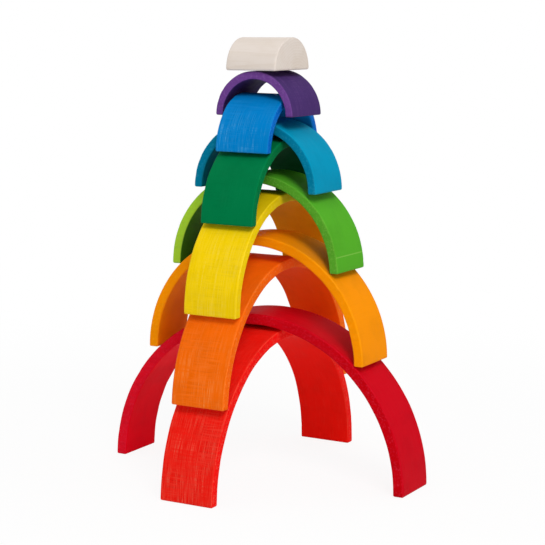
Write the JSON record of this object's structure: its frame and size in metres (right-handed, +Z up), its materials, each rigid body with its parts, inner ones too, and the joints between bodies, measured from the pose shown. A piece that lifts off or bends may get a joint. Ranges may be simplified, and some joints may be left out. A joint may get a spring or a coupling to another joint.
{
  "type": "rainbow stacker",
  "caption": "Tower of half-round wooden arches in rainbow stains, stacked crossed over one another and topped by a plain half-round block, which nest when put away.",
  "frame": {"origin": "centre of the footprint, on the floor under the tower", "axes": "+Z up, +X along the span of the largest arch, +Y from the front foot of the red arch to its back foot"},
  "size_m": [0.37, 0.3372, 0.491],
  "materials": {
    "red_stain": "matte water stain with the grain showing",
    "crimson_stain": "matte water stain with the grain showing",
    "orange_stain": "matte water stain with the grain showing",
    "amber_stain": "matte water stain with the grain showing",
    "yellow_stain": "matte water stain with the grain showing",
    "lime_stain": "matte water stain with the grain showing",
    "green_stain": "matte water stain with the grain showing",
    "teal_stain": "matte water stain with the grain showing",
    "blue_stain": "matte water stain with the grain showing",
    "purple_stain": "matte water stain with the grain showing",
    "natural_wood": "bare sanded wood"
  },
  "bodies": {
    "red": {"red_arch": "red_stain"},
    "crimson": {"crimson_arch": "crimson_stain"},
    "orange": {"orange_arch": "orange_stain"},
    "amber": {"amber_arch": "amber_stain"},
    "yellow": {"yellow_arch": "yellow_stain"},
    "lime": {"lime_arch": "lime_stain"},
    "green": {"green_arch": "green_stain"},
    "teal": {"teal_arch": "teal_stain"},
    "blue": {"blue_arch": "blue_stain"},
    "purple": {"purple_arch": "purple_stain"},
    "natural": {"natural_block": "natural_wood"}
  },
  "joints": [
    {"name": "crimson_lift", "type": "slide", "parent": "red", "child": "crimson", "axis": [0, 0, 1], "range_m": [0, 0.18]},
    {"name": "orange_lift", "type": "slide", "parent": "crimson", "child": "orange", "axis": [0, 0, 1], "range_m": [0, 0.11]},
    {"name": "amber_lift", "type": "slide", "parent": "orange", "child": "amber", "axis": [0, 0, 1], "range_m": [0, 0.12]},
    {"name": "yellow_lift", "type": "slide", "parent": "amber", "child": "yellow", "axis": [0, 0, 1], "range_m": [0, 0.085]},
    {"name": "lime_lift", "type": "slide", "parent": "yellow", "child": "lime", "axis": [0, 0, 1], "range_m": [0, 0.095]},
    {"name": "green_lift", "type": "slide", "parent": "lime", "child": "green", "axis": [0, 0, 1], "range_m": [0, 0.06]},
    {"name": "teal_lift", "type": "slide", "parent": "green", "child": "teal", "axis": [0, 0, 1], "range_m": [0, 0.068]},
    {"name": "blue_lift", "type": "slide", "parent": "teal", "child": "blue", "axis": [0, 0, 1], "range_m": [0, 0.042]},
    {"name": "purple_lift", "type": "slide", "parent": "blue", "child": "purple", "axis": [0, 0, 1], "range_m": [0, 0.035]},
    {"name": "natural_lift", "type": "slide", "parent": "purple", "child": "natural", "axis": [0, 0, 1], "range_m": [0, 0.04]}
  ]
}
